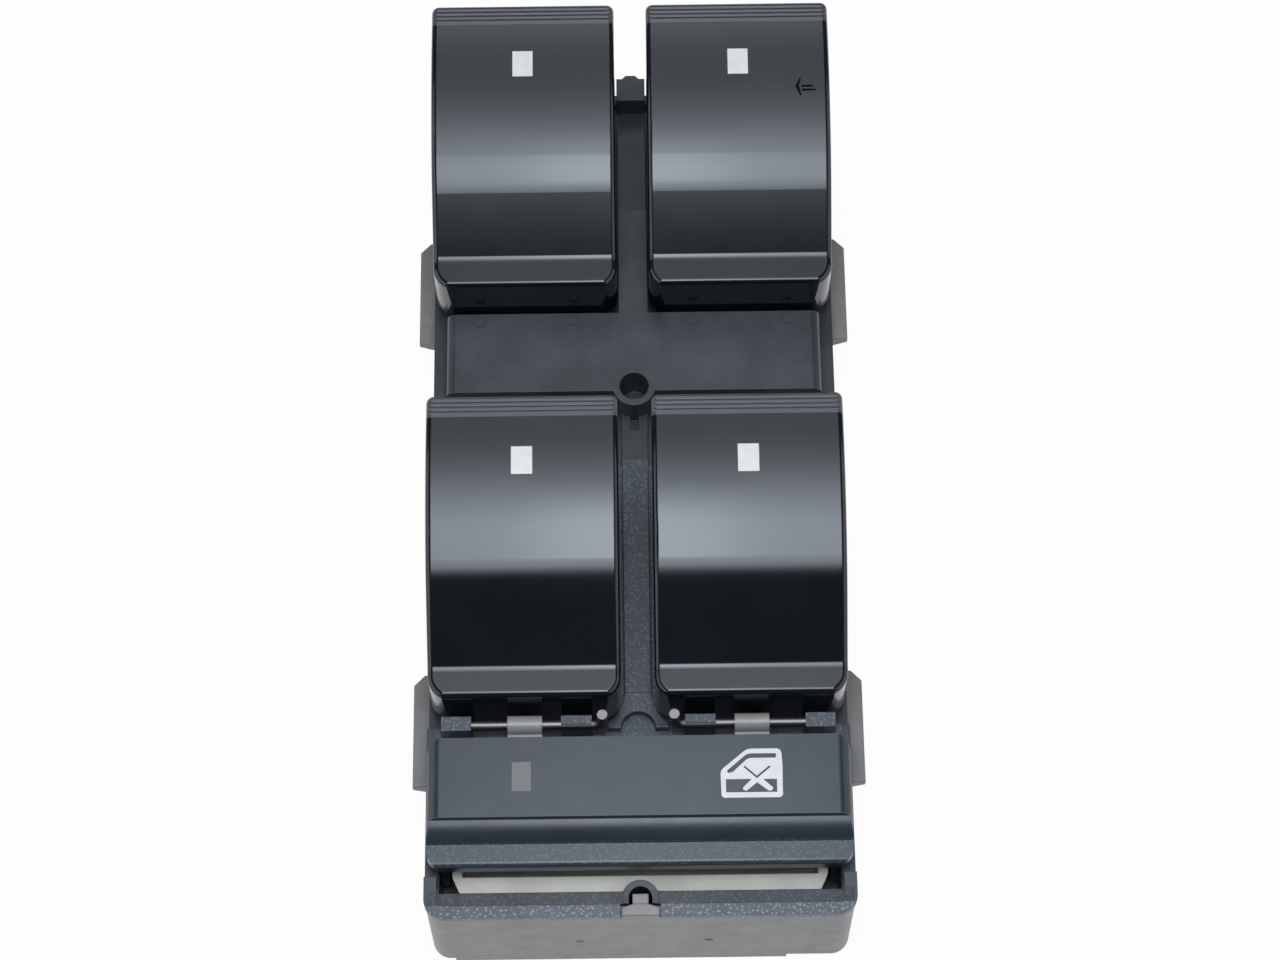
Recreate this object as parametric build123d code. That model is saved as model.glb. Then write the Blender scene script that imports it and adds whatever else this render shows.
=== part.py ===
from build123d import *
import math
import os

os.makedirs("parts", exist_ok=True)

# All lengths are millimetres. X runs across the switch, +Y towards the lifting
# lips of the window buttons, +Z up. The part rests on the pad under its case.

# Window buttons: four equal rocking caps in two pairs
BUTTON_WIDTH = 24.45
BUTTON_LENGTH = 37.9
BUTTON_GAP = 4.3
PAIR_PITCH = 57.9
BUTTON_WALL = 1.5
BUTTON_ROOF = 1.6
CROWN_RADIUS = 45.0
CROWN_HEIGHT = 16.6
CROWN_APEX = 6.0
SLOPE_LENGTH = 9.2
SHELF_HEIGHT = 6.9
SHELF_DEPTH = 3.8
SHELF_HOLLOW_RADIUS = 1.6
FRONT_DRAFT = 0.4
SKIRT_BELOW_PLATE = 1.7
LIP_THICKNESS = 1.9
LIP_REACH = 5.4
LIP_SCOOP_DROP = 8.0
OUTER_CORNER_RADIUS = 3.3
INNER_CORNER_RADIUS = 3.0
FAR_CORNER_RADIUS = 1.0
CAP_EDGE_RADIUS = 0.7
CROWN_BLEND_RADIUS = 25.0
GRIP_COUNT = 4
GRIP_PITCH = 0.66
GRIP_DEPTH = 0.3
GRIP_WIDTH = 0.36
GRIP_START = 0.5

# Hinge of a window button: a stub axle on the tower in an eye on the cap
PIVOT_FROM_LIP = 19.5
PIVOT_ABOVE_PLATE = 2.0
AXLE_RADIUS = 1.8
RUNNING_CLEARANCE = 0.05
EYE_WALL = 1.4
EYE_BOSS = 1.2
AXLE_INTO_WALL = 0.5
AXLE_END_GAP = 0.2
TOWER_SIDE_GAP = 0.5
TOWER_WALL = 1.4
TOWER_HALF_LENGTH = 11.5
TOWER_ABOVE_AXLE = 1.1

# Pushers that carry a button's motion down to the rubber domes
PUSHER_ARM = 6.0
PUSHER_RADIUS = 1.8
PUSHER_FOOT_RADIUS = 2.6
PUSHER_FOOT_HEIGHT = 1.0
PUSHER_HEAD_GAP = 0.3
PUSHER_ABOVE_PIVOT = 2.0
FOOT_RUNNING_GAP = 0.3
FOOT_HEADROOM = 1.3
DOME_GAP = 0.2
GUIDE_WALL = 0.9
GUIDE_BELOW_AXLE = 2.0
POST_WIDTH = 4.6
POST_DEPTH = 2.8

# Legend window in each button
LEGEND_WIDTH = 2.7
LEGEND_LENGTH = 3.7
LEGEND_FROM_LIP = 9.3
LEGEND_STEM = 1.2

# Levels, from the resting face up
PAD_HEIGHT = 1.8
FLOOR_THICKNESS = 1.8
BOARD_STANDOFF = 5.0
BOARD_THICKNESS = 1.6
MAT_THICKNESS = 0.8
MAT_AIR = 0.2
CARRIER_THICKNESS = 1.4
DECK_THICKNESS = 1.8
DOME_HEIGHT = 1.4
PLATE_RISE = 5.6
RIB_DROP = 4.0
CURB_HEIGHT = 1.0
RIM_ABOVE_PLATE = 2.0
RIM_THICKNESS = 1.2
KEY_FLANGE_DROP = 0.2
KEY_PUSHER_ABOVE_PLATE = 0.5
LEDGE_DROP = 0.7
BOSS_DROP = 0.4

# Plan of the housing and of the case under it
SIDE_LIP = 0.4
FAR_OVERHANG = 2.2
SLOT_LENGTH = 4.8
POCKET_LENGTH = 2.6
INNER_LEDGE = 1.8
RIM_WIDTH = 1.6
HOUSING_CORNER = 2.5
CASE_INSET = 0.15
CASE_WALL = 1.5
CASE_FOOT_RADIUS = 1.4
FIT_GAP = 0.1
CUT_PAST = 20.0
PLATE_SIDE_STEP = 1.95
PLATE_FRONT_GAP = 0.5
PLATE_LENGTH = 11.6
PLATE_WALL = 1.6
PLATE_EDGE_RADIUS = 1.2
RIB_WIDTH = 3.4
UPPER_RIB_WIDTH = 3.9
UPPER_RIB_LENGTH = 15.6
END_POST_LENGTH = 3.4
WALL_RISE_FROM_FOOT = 2.6

# Bosses and notches along the centre line
SCREW_BOSS_RADIUS = 2.83
SCREW_BORE_RADIUS = 1.95
SCREW_BORE_DEPTH = 6.0
SCREW_BOSS_FROM_EDGE = 0.7
RIB_SLOT_WIDTH = 1.2
RIB_SLOT_LENGTH = 1.8
RIB_SLOT_DEPTH = 1.0
RIB_SLOT_FROM_BOSS = 2.8
ARCH_OUTER_RADIUS = 3.9
ARCH_INNER_RADIUS = 2.25
ARCH_FROM_FOOT = 0.2
FLARE_LENGTH = 4.8
ARCH_STRAIGHT = 1.2
ARCH_STEP = 0.15
NEAR_BOSS_RADIUS = 2.3
NEAR_SLOT_WIDTH = 2.9
NEAR_BOSS_FROM_EDGE = 2.5
NOTCH_WIDTH = 5.0
TONGUE_HEIGHT = 3.0
TONGUE_DROP = 0.2
TONGUE_ARC = 5.0
TONGUE_POST_WIDTH = 2.0
TONGUE_POST_REACH = 0.5
END_NOSE_WIDTH = 2.2
END_NOSE_REACH = 0.5
NUB_RADIUS = 0.65
NUB_HEIGHT = 0.35
NUB_SPREAD = 12.6

# Lock key and its hinge wires
KEY_LENGTH = 16.2
KEY_LIP_LENGTH = 2.8
KEY_SLOPE_LENGTH = 3.0
KEY_STEP_LENGTH = 0.2
KEY_STEP_HEIGHT = 0.6
KEY_SLOPE_BULGE = 0.25
KEY_ABOVE_PLATE = 6.0
KEY_LIP_ABOVE_PLATE = 4.0
KEY_SIDE_GAP = 0.4
KEY_WALL = 1.5
KEY_SIDE_DROP = 3.8
KEY_LIP_DROP = 2.2
KEY_FAR_DROP = 5.2
KEY_CORNER = 2.0
KEY_END_RADIUS = 1.6
KEY_LIP_RADIUS = 0.6
WIRE_RADIUS = 0.65
WIRE_FROM_FOOT = 1.9
WIRE_ABOVE_PLATE = 2.2
WIRE_INNER_X = 4.55
WIRE_FROM_SIDE = 3.4
WIRE_UPTURN = 2.4
WIRE_BEND_RADIUS = 1.3
KEY_EYE_RADIUS = 1.2
KEY_EYE_WIDTH = 4.4
KEY_EYE_X = 14.4
KEY_ARM_THICKNESS = 1.1
EAR_DEPTH = 0.95
EAR_TOP = 0.9
INNER_EAR_X = (5.9, 9.8)
OUTER_EAR_FROM_SIDE = (5.8, 2.0)
KEY_PUSHER_FROM_WIRE = 11.8
LAMP_LENS_WIDTH = 2.4
LAMP_LENS_LENGTH = 3.8
LAMP_LENS_X = -14.7
LAMP_LENS_FROM_FAR = 5.2

# White carrier with the pusher guides
CARRIER_SIDE_GAP = 3.4
CARRIER_END_GAP = 3.0
BOX_WALL = 1.2
BOX_SIDE_GAP = 0.5
BOX_NEAR_GAP = 0.35
BOX_BAR = 2.3
BOX_END_CUT = 1.0
LINER_WALL = 1.2
MOUTH_LENGTH = 1.0
BOX_BELOW_PLATE = 0.8
BOX_FROM_KEY = 2.0
LOCK_GUIDE_DROP = 2.0

# Snap tabs on the case and snap legs on the housing
TAB_LENGTH = 15.3
TAB_REACH = 2.4
TAB_CHAMFER = 1.4
TAB_DROP = 9.0
TAB_FLANGE = 1.0
TAB_TAPER = 1.2
TAB_STANDOUT = 0.35
TAB_TOP_BELOW_WALL = 0.4
TAB_SLIT = 0.8
TAB_ROOT = 1.2
UPPER_TAB_FROM_LIP = 38.9
LOWER_TAB_FROM_NEAR = 20.3
LEG_WIDTH = 5.0
LEG_THICKNESS = 1.1
LEG_DROP = 6.2
LEG_NUB = 0.8
LEG_NUB_HEIGHT = 2.2
LEG_NUB_INSET = 0.6
LEG_WINDOW_GAP = 0.4
LEG_FROM_LIP = 15.4
LEG_FROM_NEAR = 13.4
LEG_FROM_REAR_LIP = (8.5, -11.5)

# Pad under the case
PAD_LEFT = -24.0
PAD_RIGHT = 18.8
PAD_END_INSET = 0.3
PAD_CHAMFER = 0.8

# Circuit board and what it carries
BOARD_SIDE_GAP = 3.4
BOARD_FAR_GAP = 3.4
BOARD_NEAR_GAP = 4.4
BOARD_CORNER = 1.0
MAT_INSET = 0.8
PEG_RADIUS = 1.0
PEG_SHOULDER = 1.0
PEG_HOLE_GAP = 0.1
PEG_INSET = 4.0
SHELF_WIDTH = 3.2
SHELF_BLOCK = 6.0
LED_SIZE = 2.8
LED_HEIGHT = 0.7
LED_HOLE_SIZE = 3.6
GUIDE_ROD_RADIUS = 1.5
GUIDE_ROD_TOP = 2.5
HEADER_LENGTH = 30.0
HEADER_DEPTH = 10.6
HEADER_WALL = 1.2
HEADER_CAVITY = 6.6
HEADER_GAP = 0.2
PIN_COUNT = 10
PIN_PITCH = 2.54
PIN_SIZE = 0.64
PIN_HOLE_GAP = 0.16
PIN_TIP = 0.7
PIN_INTO_SOCKET = 3.6
CONTROLLER_SIZE = 10.0
CONTROLLER_HEIGHT = 1.4
CONTROLLER_FROM_HEADER = 39.2
DRIVER_WIDTH = 4.0
DRIVER_LENGTH = 10.0
DRIVER_HEIGHT = 1.6
DRIVER_X = 10.0
DRIVER_FROM_HEADER = (16.8, -25.2)
CAPACITOR_RADIUS = 2.5
CAPACITOR_HEIGHT = 4.2
CAPACITOR_X = 14.0
CAPACITOR_FROM_HEADER = 53.2
RESISTOR_WIDTH = 1.6
RESISTOR_LENGTH = 1.4
RESISTOR_HEIGHT = 0.6
RESISTOR_COUNT = 6
RESISTOR_PITCH = 4.8
RESISTOR_FROM_HEADER = 59.0

# Levels worked out from the stack
case_z = PAD_HEIGHT
floor_z = case_z + FLOOR_THICKNESS
board_z0 = floor_z + BOARD_STANDOFF
board_z1 = board_z0 + BOARD_THICKNESS
mat_z1 = board_z1 + MAT_THICKNESS
carrier_z0 = mat_z1 + MAT_AIR
deck_z0 = carrier_z0 + CARRIER_THICKNESS
deck_z1 = deck_z0 + DECK_THICKNESS
plate_z = deck_z1 + PLATE_RISE
rib_z = plate_z - RIB_DROP
rim_z = plate_z + RIM_ABOVE_PLATE
key_flange_z = plate_z - KEY_FLANGE_DROP
pivot_z = plate_z + PIVOT_ABOVE_PLATE
dome_z = mat_z1 + DOME_HEIGHT
foot_z = dome_z + DOME_GAP
pusher_top_z = pivot_z + PUSHER_ABOVE_PIVOT
skirt_z = plate_z - SKIRT_BELOW_PLATE
wire_z = plate_z + WIRE_ABOVE_PLATE
key_z = plate_z + KEY_ABOVE_PLATE
key_lip_z = plate_z + KEY_LIP_ABOVE_PLATE
key_under_z = min(key_z - KEY_FAR_DROP, key_lip_z - KEY_LIP_DROP)
key_pusher_top_z = plate_z + KEY_PUSHER_ABOVE_PLATE
header_z0 = PAD_HEIGHT / 3
box_top_z = plate_z - BOX_BELOW_PLATE

# Places along Y, from the lifting lip of the front pair to the near wall
total_length = (PAIR_PITCH + BUTTON_LENGTH + SLOT_LENGTH + KEY_LENGTH
                + POCKET_LENGTH + INNER_LEDGE + RIM_WIDTH)
front_lip_y = total_length / 2
rear_lip_y = front_lip_y - PAIR_PITCH
front_foot_y = front_lip_y - BUTTON_LENGTH
rear_foot_y = rear_lip_y - BUTTON_LENGTH
wire_y = rear_foot_y - WIRE_FROM_FOOT
key_far_y = rear_foot_y - SLOT_LENGTH
key_near_y = key_far_y - KEY_LENGTH
ledge_y = key_near_y - POCKET_LENGTH
rim_far_y = ledge_y - INNER_LEDGE
near_y = rim_far_y - RIM_WIDTH
far_wall_y = front_lip_y - FAR_OVERHANG
wall_rise_y = rear_foot_y - WALL_RISE_FROM_FOOT
plate_far_y = front_foot_y - PLATE_FRONT_GAP
plate_near_y = plate_far_y - PLATE_LENGTH
pocket_step_y = key_near_y - 0.6
boss_y = plate_near_y + SCREW_BOSS_FROM_EDGE
arch_y = rear_foot_y - ARCH_FROM_FOOT
near_boss_y = near_y + NEAR_BOSS_FROM_EDGE
case_near_y = near_y + CASE_INSET
header_y = (plate_far_y + plate_near_y) / 2
board_far_y = far_wall_y - BOARD_FAR_GAP
board_near_y = near_y + BOARD_NEAR_GAP
tab_ys = (front_lip_y - UPPER_TAB_FROM_LIP, near_y + LOWER_TAB_FROM_NEAR)
leg_ys = [front_lip_y - LEG_FROM_LIP, near_y + LEG_FROM_NEAR]
leg_ys += [rear_lip_y + step for step in LEG_FROM_REAR_LIP]

# Places along X
button_x = (BUTTON_GAP + BUTTON_WIDTH) / 2
half_width = BUTTON_GAP / 2 + BUTTON_WIDTH + SIDE_LIP
case_half = half_width - CASE_INSET
case_inner = case_half - CASE_WALL
plate_half = half_width - PLATE_SIDE_STEP
key_half = half_width - KEY_SIDE_GAP
key_panel_length = KEY_LENGTH - KEY_SLOPE_LENGTH - KEY_LIP_LENGTH
board_half = half_width - BOARD_SIDE_GAP
carrier_half = half_width - CARRIER_SIDE_GAP
liner_half = case_inner - FIT_GAP
hole_half = liner_half - LINER_WALL
mouth_half = half_width - RIM_WIDTH
wire_outer_x = half_width - WIRE_FROM_SIDE
outer_ear_x = [half_width - step for step in OUTER_EAR_FROM_SIDE]
box_half = hole_half - BOX_SIDE_GAP

# Cap and hinge of a window button, measured from its lip and middle
cap_inner_half = BUTTON_WIDTH / 2 - BUTTON_WALL
crown_length = BUTTON_LENGTH - FRONT_DRAFT - SHELF_DEPTH - SLOPE_LENGTH
tower_half = cap_inner_half - EYE_BOSS - TOWER_SIDE_GAP
axle_tip = cap_inner_half + AXLE_INTO_WALL
tower_top_z = pivot_z + AXLE_RADIUS + TOWER_ABOVE_AXLE
guide_top_z = pivot_z - GUIDE_BELOW_AXLE
foot_bore_radius = PUSHER_FOOT_RADIUS + FOOT_RUNNING_GAP
guide_radius = foot_bore_radius + GUIDE_WALL
foot_bore_z = foot_z + PUSHER_FOOT_HEIGHT + FOOT_HEADROOM

BUTTON_PLACES = {
    "front_left": (-button_x, front_lip_y),
    "front_right": (button_x, front_lip_y),
    "rear_left": (-button_x, rear_lip_y),
    "rear_right": (button_x, rear_lip_y),
}


def block(x0, x1, y0, y1, z0, z1):
    """A block between six planes."""
    middle = Pos((x0 + x1) / 2, (y0 + y1) / 2, (z0 + z1) / 2)
    return middle * Box(x1 - x0, y1 - y0, z1 - z0)


def rounded_block(x0, x1, y0, y1, z0, z1, radius):
    """A block whose upright corners are rounded."""
    plan = Pos((x0 + x1) / 2, (y0 + y1) / 2, z0) * RectangleRounded(x1 - x0, y1 - y0, radius)
    return extrude(plan, z1 - z0)


def upright(x, y, z0, z1, radius):
    """A round post along Z."""
    return Pos(x, y, (z0 + z1) / 2) * Cylinder(radius, z1 - z0)


def crossbar(x0, x1, y, z, radius):
    """A round bar along X."""
    return Pos((x0 + x1) / 2, y, z) * Rot(0, 90, 0) * Cylinder(radius, abs(x1 - x0))


def side_profile(points):
    """A closed face in the YZ plane through (y, z) points."""
    return Plane.YZ * make_face(Polyline(*points, close=True))


def across(profile, x0, x1):
    """The profile pulled along X from x0 to x1."""
    return Pos(x0, 0, 0) * extrude(profile, x1 - x0, dir=(1, 0, 0))


# Window buttons

def crown_z(from_lip, radius_change=0.0):
    """Height of the crown's arc above the resting face."""
    radius = CROWN_RADIUS + radius_change
    centre_z = plate_z + CROWN_HEIGHT - CROWN_RADIUS
    return centre_z + math.sqrt(radius ** 2 - (from_lip - CROWN_APEX) ** 2)


def cap_outline():
    """The cap's side view: crown, slope, shelf, front wall and overhanging lip."""
    shelf_z = plate_z + SHELF_HEIGHT
    foot = (-BUTTON_LENGTH, skirt_z)
    brow = (-BUTTON_LENGTH + FRONT_DRAFT, shelf_z)
    shelf_end = (-BUTTON_LENGTH + FRONT_DRAFT + SHELF_DEPTH, shelf_z)
    crown_end = (-crown_length, crown_z(crown_length))
    crown_top = (-CROWN_APEX, crown_z(CROWN_APEX))
    lip_top = (0, crown_z(0))
    lip_bottom = (0, crown_z(0) - LIP_THICKNESS)
    scoop_mid = (-LIP_REACH * 0.75, lip_bottom[1] - LIP_SCOOP_DROP * 0.3)
    scoop_end = (-LIP_REACH, lip_bottom[1] - LIP_SCOOP_DROP)
    far_foot = (-LIP_REACH, skirt_z)
    edges = [
        Line(foot, brow),
        Line(brow, shelf_end),
        Line(shelf_end, crown_end),
        ThreePointArc(crown_end, crown_top, lip_top),
        Line(lip_top, lip_bottom),
        ThreePointArc(lip_bottom, scoop_mid, scoop_end),
        Line(scoop_end, far_foot),
        Line(far_foot, foot),
    ]
    face = make_face(edges)
    hollow = face.vertices().sort_by_distance((*shelf_end, 0))[0]
    face = fillet(hollow, SHELF_HOLLOW_RADIUS)
    blend = face.vertices().sort_by_distance((*crown_end, 0))[0]
    face = fillet(blend, CROWN_BLEND_RADIUS)
    return Plane.YZ * face


def cap_hollow_outline():
    """The side view of the space inside the cap."""
    shelf_z = plate_z + SHELF_HEIGHT - BUTTON_ROOF
    below = skirt_z - 1
    front = -BUTTON_LENGTH + FRONT_DRAFT + BUTTON_WALL
    crown_end = (-crown_length + 0.4, crown_z(crown_length - 0.4, -BUTTON_ROOF))
    mid = (CROWN_APEX + crown_length) / 2
    crown_top = (-mid, crown_z(mid, -BUTTON_ROOF))
    back = -LIP_REACH - BUTTON_WALL
    edges = [
        Line((front, below), (front, shelf_z)),
        Line((front, shelf_z), (front + SHELF_DEPTH * 0.7, shelf_z)),
        Line((front + SHELF_DEPTH * 0.7, shelf_z), crown_end),
        ThreePointArc(crown_end, crown_top, (back, crown_z(-back, -BUTTON_ROOF))),
        Line((back, crown_z(-back, -BUTTON_ROOF)), (back, below)),
        Line((back, below), (front, below)),
    ]
    return Plane.YZ * make_face(edges)


def cap_plan(outer_side):
    """The cap's plan, with the larger round at its outer near corner."""
    half = BUTTON_WIDTH / 2
    plan = Pos(0, -BUTTON_LENGTH / 2) * Rectangle(BUTTON_WIDTH, BUTTON_LENGTH)
    for side in (-1, 1):
        radius = OUTER_CORNER_RADIUS if side == outer_side else INNER_CORNER_RADIUS
        corner = plan.vertices().sort_by_distance((side * half, -BUTTON_LENGTH, 0))[0]
        plan = fillet(corner, radius)
        corner = plan.vertices().sort_by_distance((side * half, 0, 0))[0]
        plan = fillet(corner, FAR_CORNER_RADIUS)
    return plan


def cap_body(outer_side):
    """The solid outside shape of a cap, its lip at Y = 0 and its middle at X = 0."""
    tall = plate_z + CROWN_HEIGHT + 5
    body = across(cap_outline(), -BUTTON_WIDTH / 2, BUTTON_WIDTH / 2)
    body &= extrude(cap_plan(outer_side), tall)
    rims = []
    for edge in body.edges():
        middle = edge.position_at(0.5)
        box = edge.bounding_box()
        flat_to_side = box.size.X < 1e-4 and abs(abs(middle.X) - BUTTON_WIDTH / 2) < 1e-3
        on_top = middle.Z > plate_z + SHELF_HEIGHT - 0.1 and box.size.Y > 0.3
        above_shelf = middle.Z > crown_z(-middle.Y) - 0.3 or middle.Y < -crown_length
        if flat_to_side and on_top and above_shelf:
            rims.append(edge)
    brow_y = -BUTTON_LENGTH + FRONT_DRAFT
    for edge in body.edges():
        middle = edge.position_at(0.5)
        if abs(middle.Y - brow_y) < 0.01 and abs(middle.Z - plate_z - SHELF_HEIGHT) < 0.01:
            rims.append(edge)
    return fillet(rims, CAP_EDGE_RADIUS)


def legend_block():
    """The space of the legend window, from under the roof to above the crown."""
    half = LEGEND_WIDTH / 2
    roof = crown_z(LEGEND_FROM_LIP, -BUTTON_ROOF)
    y = -LEGEND_FROM_LIP
    return block(-half, half, y - LEGEND_LENGTH / 2, y + LEGEND_LENGTH / 2,
                 roof - LEGEND_STEM, plate_z + CROWN_HEIGHT + 1)


def window_button(outer_side, body):
    """One hollow window button with its hinge eyes, pusher posts and grip ridges."""
    tall = plate_z + CROWN_HEIGHT + 5
    inner_plan = Pos(0, -BUTTON_LENGTH / 2) * Rectangle(2 * cap_inner_half, BUTTON_LENGTH)
    hollow = across(cap_hollow_outline(), -cap_inner_half, cap_inner_half) & extrude(inner_plan, tall)
    cap = body - hollow
    pivot_y = -PIVOT_FROM_LIP
    for side in (-1, 1):
        inner = side * (cap_inner_half - EYE_BOSS)
        wall = side * (cap_inner_half + 0.2)
        deep = side * (axle_tip + AXLE_END_GAP)
        cap += crossbar(inner, wall, pivot_y, pivot_z, AXLE_RADIUS + RUNNING_CLEARANCE + EYE_WALL)
        cap -= crossbar(inner - side, deep, pivot_y, pivot_z, AXLE_RADIUS + RUNNING_CLEARANCE)
    for arm in (-PUSHER_ARM, PUSHER_ARM):
        y = pivot_y + arm
        roof = crown_z(-y, -BUTTON_ROOF) if -y < crown_length else slope_z(-y) - BUTTON_ROOF
        cap += block(-POST_WIDTH / 2, POST_WIDTH / 2, y - POST_DEPTH / 2, y + POST_DEPTH / 2,
                     pusher_top_z + PUSHER_HEAD_GAP, roof + 0.6)
    for index in range(GRIP_COUNT):
        cap -= grip_groove(GRIP_START + index * GRIP_PITCH)
    return cap - legend_block()


def grip_groove(from_lip):
    """The V cut between two grip ridges."""
    bottom = crown_z(from_lip) - GRIP_DEPTH
    top = crown_z(from_lip) + GRIP_DEPTH
    points = [(-from_lip, bottom), (-from_lip + GRIP_WIDTH, top), (-from_lip - GRIP_WIDTH, top)]
    return across(side_profile(points), -BUTTON_WIDTH, BUTTON_WIDTH)


def slope_z(from_lip):
    """Height of the slope between the crown and the shelf."""
    shelf_from_lip = BUTTON_LENGTH - FRONT_DRAFT - SHELF_DEPTH
    shelf_z = plate_z + SHELF_HEIGHT
    rise = (crown_z(crown_length) - shelf_z) / (shelf_from_lip - crown_length)
    return shelf_z + (shelf_from_lip - from_lip) * rise


# Pushers

def pusher(x, y, top_z):
    """A plunger with a round foot over its dome."""
    stem = upright(x, y, foot_z, top_z, PUSHER_RADIUS)
    foot = upright(x, y, foot_z, foot_z + PUSHER_FOOT_HEIGHT, PUSHER_FOOT_RADIUS)
    return stem + foot


def pusher_places():
    """Name, middle and top of every pusher."""
    places = []
    for name, (x, lip_y) in BUTTON_PLACES.items():
        pivot_y = lip_y - PIVOT_FROM_LIP
        places.append((name + "_down_pusher", x, pivot_y + PUSHER_ARM, pusher_top_z))
        places.append((name + "_up_pusher", x, pivot_y - PUSHER_ARM, pusher_top_z))
    places.append(("lock_pusher", 0, wire_y - KEY_PUSHER_FROM_WIRE, key_pusher_top_z))
    return places


# Housing

def tower(x, lip_y):
    """A hollow tower with two stub axles, standing inside one button."""
    y = lip_y - PIVOT_FROM_LIP
    shell = rounded_block(x - tower_half, x + tower_half, y - TOWER_HALF_LENGTH, y + TOWER_HALF_LENGTH,
                          deck_z0, tower_top_z, TOWER_WALL)
    return shell + crossbar(x - axle_tip, x + axle_tip, y, pivot_z, AXLE_RADIUS)


def tower_well(x, lip_y):
    """The space inside a tower, through the deck."""
    y = lip_y - PIVOT_FROM_LIP
    half_x = tower_half - TOWER_WALL
    half_y = TOWER_HALF_LENGTH - TOWER_WALL
    return block(x - half_x, x + half_x, y - half_y, y + half_y, deck_z0 - 1, tower_top_z + 1)


def arch():
    """The half-round seat at the near end of the centre rib, with its hollow flare."""
    half = RIB_WIDTH / 2
    outer = ARCH_OUTER_RADIUS
    far = arch_y + FLARE_LENGTH
    bend = arch_y + ARCH_STRAIGHT
    edges = [
        Line((-half, far), (half, far)),
        TangentArc((half, far), (outer, bend), tangent=(0, -1)),
        Line((outer, bend), (outer, arch_y)),
        Line((outer, arch_y), (-outer, arch_y)),
        Line((-outer, arch_y), (-outer, bend)),
        TangentArc((-half, far), (-outer, bend), tangent=(0, -1)),
    ]
    web = Pos(0, 0, deck_z1) * extrude(make_face(edges), rib_z - ARCH_STEP - deck_z1)
    return web - upright(0, arch_y, deck_z1, rib_z + 1, ARCH_INNER_RADIUS)


def centre_line():
    """Ribs, bosses and the raised plate's extension along the centre line."""
    upper_top_y = plate_far_y + UPPER_RIB_LENGTH
    half_upper = UPPER_RIB_WIDTH / 2
    parts = block(-RIB_WIDTH / 2, RIB_WIDTH / 2, arch_y + FLARE_LENGTH, plate_near_y + 1, deck_z1, rib_z)
    parts += arch()
    parts += block(-half_upper, half_upper, plate_far_y - 1, upper_top_y, deck_z1, plate_z)
    parts += block(-half_upper, half_upper, upper_top_y, far_wall_y, deck_z1, rib_z)
    post_near = far_wall_y - END_POST_LENGTH
    parts += block(-half_upper, half_upper, post_near, far_wall_y, deck_z0, plate_z)
    nose = block(-END_NOSE_WIDTH / 2, END_NOSE_WIDTH / 2, post_near + 0.6, far_wall_y + END_NOSE_REACH,
                 deck_z0, plate_z)
    nose = chamfer(nose.edges().filter_by(Axis.Z).group_by(Axis.Y)[-1], END_NOSE_REACH * 0.9)
    parts += nose
    parts += upright(0, boss_y, deck_z0, plate_z, SCREW_BOSS_RADIUS)
    return parts


def raised_plate():
    """The raised plate between the two pairs, hollow underneath."""
    shell = block(-plate_half, plate_half, plate_near_y, plate_far_y, deck_z0, plate_z)
    edges = shell.edges().filter_by(Axis.Y).group_by(Axis.Z)[-1]
    shell = fillet(edges, PLATE_EDGE_RADIUS)
    space = block(-plate_half + PLATE_WALL, plate_half - PLATE_WALL, plate_near_y + PLATE_WALL,
                  plate_far_y - PLATE_WALL, deck_z0 - 1, plate_z - PLATE_WALL)
    return shell - space + upright(0, boss_y, deck_z0, plate_z, SCREW_BOSS_RADIUS)


def nubs():
    """Four small stops on the raised plate, two in front of each front button."""
    y = plate_far_y - 2 * NUB_RADIUS
    group = None
    for side in (-1, 1):
        for offset in (-NUB_SPREAD / 2, NUB_SPREAD / 2):
            nub = upright(side * button_x + offset, y, plate_z - 0.5, plate_z + NUB_HEIGHT, NUB_RADIUS)
            group = nub if group is None else group + nub
    return group


def wire_ears():
    """Saddles behind the two hinge wires' inner runs and blocks round their outer ends."""
    group = None
    for side in (-1, 1):
        saddle = side_box(side, *INNER_EAR_X, wire_y - EAR_DEPTH / 4, wire_y + EAR_DEPTH,
                          deck_z1 - 0.5, wire_z + EAR_TOP)
        holder = side_box(side, *outer_ear_x, wire_y - EAR_DEPTH, wire_y + EAR_DEPTH,
                          deck_z1 - 0.5, wire_z + EAR_TOP)
        group = saddle + holder if group is None else group + saddle + holder
    return group


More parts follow.
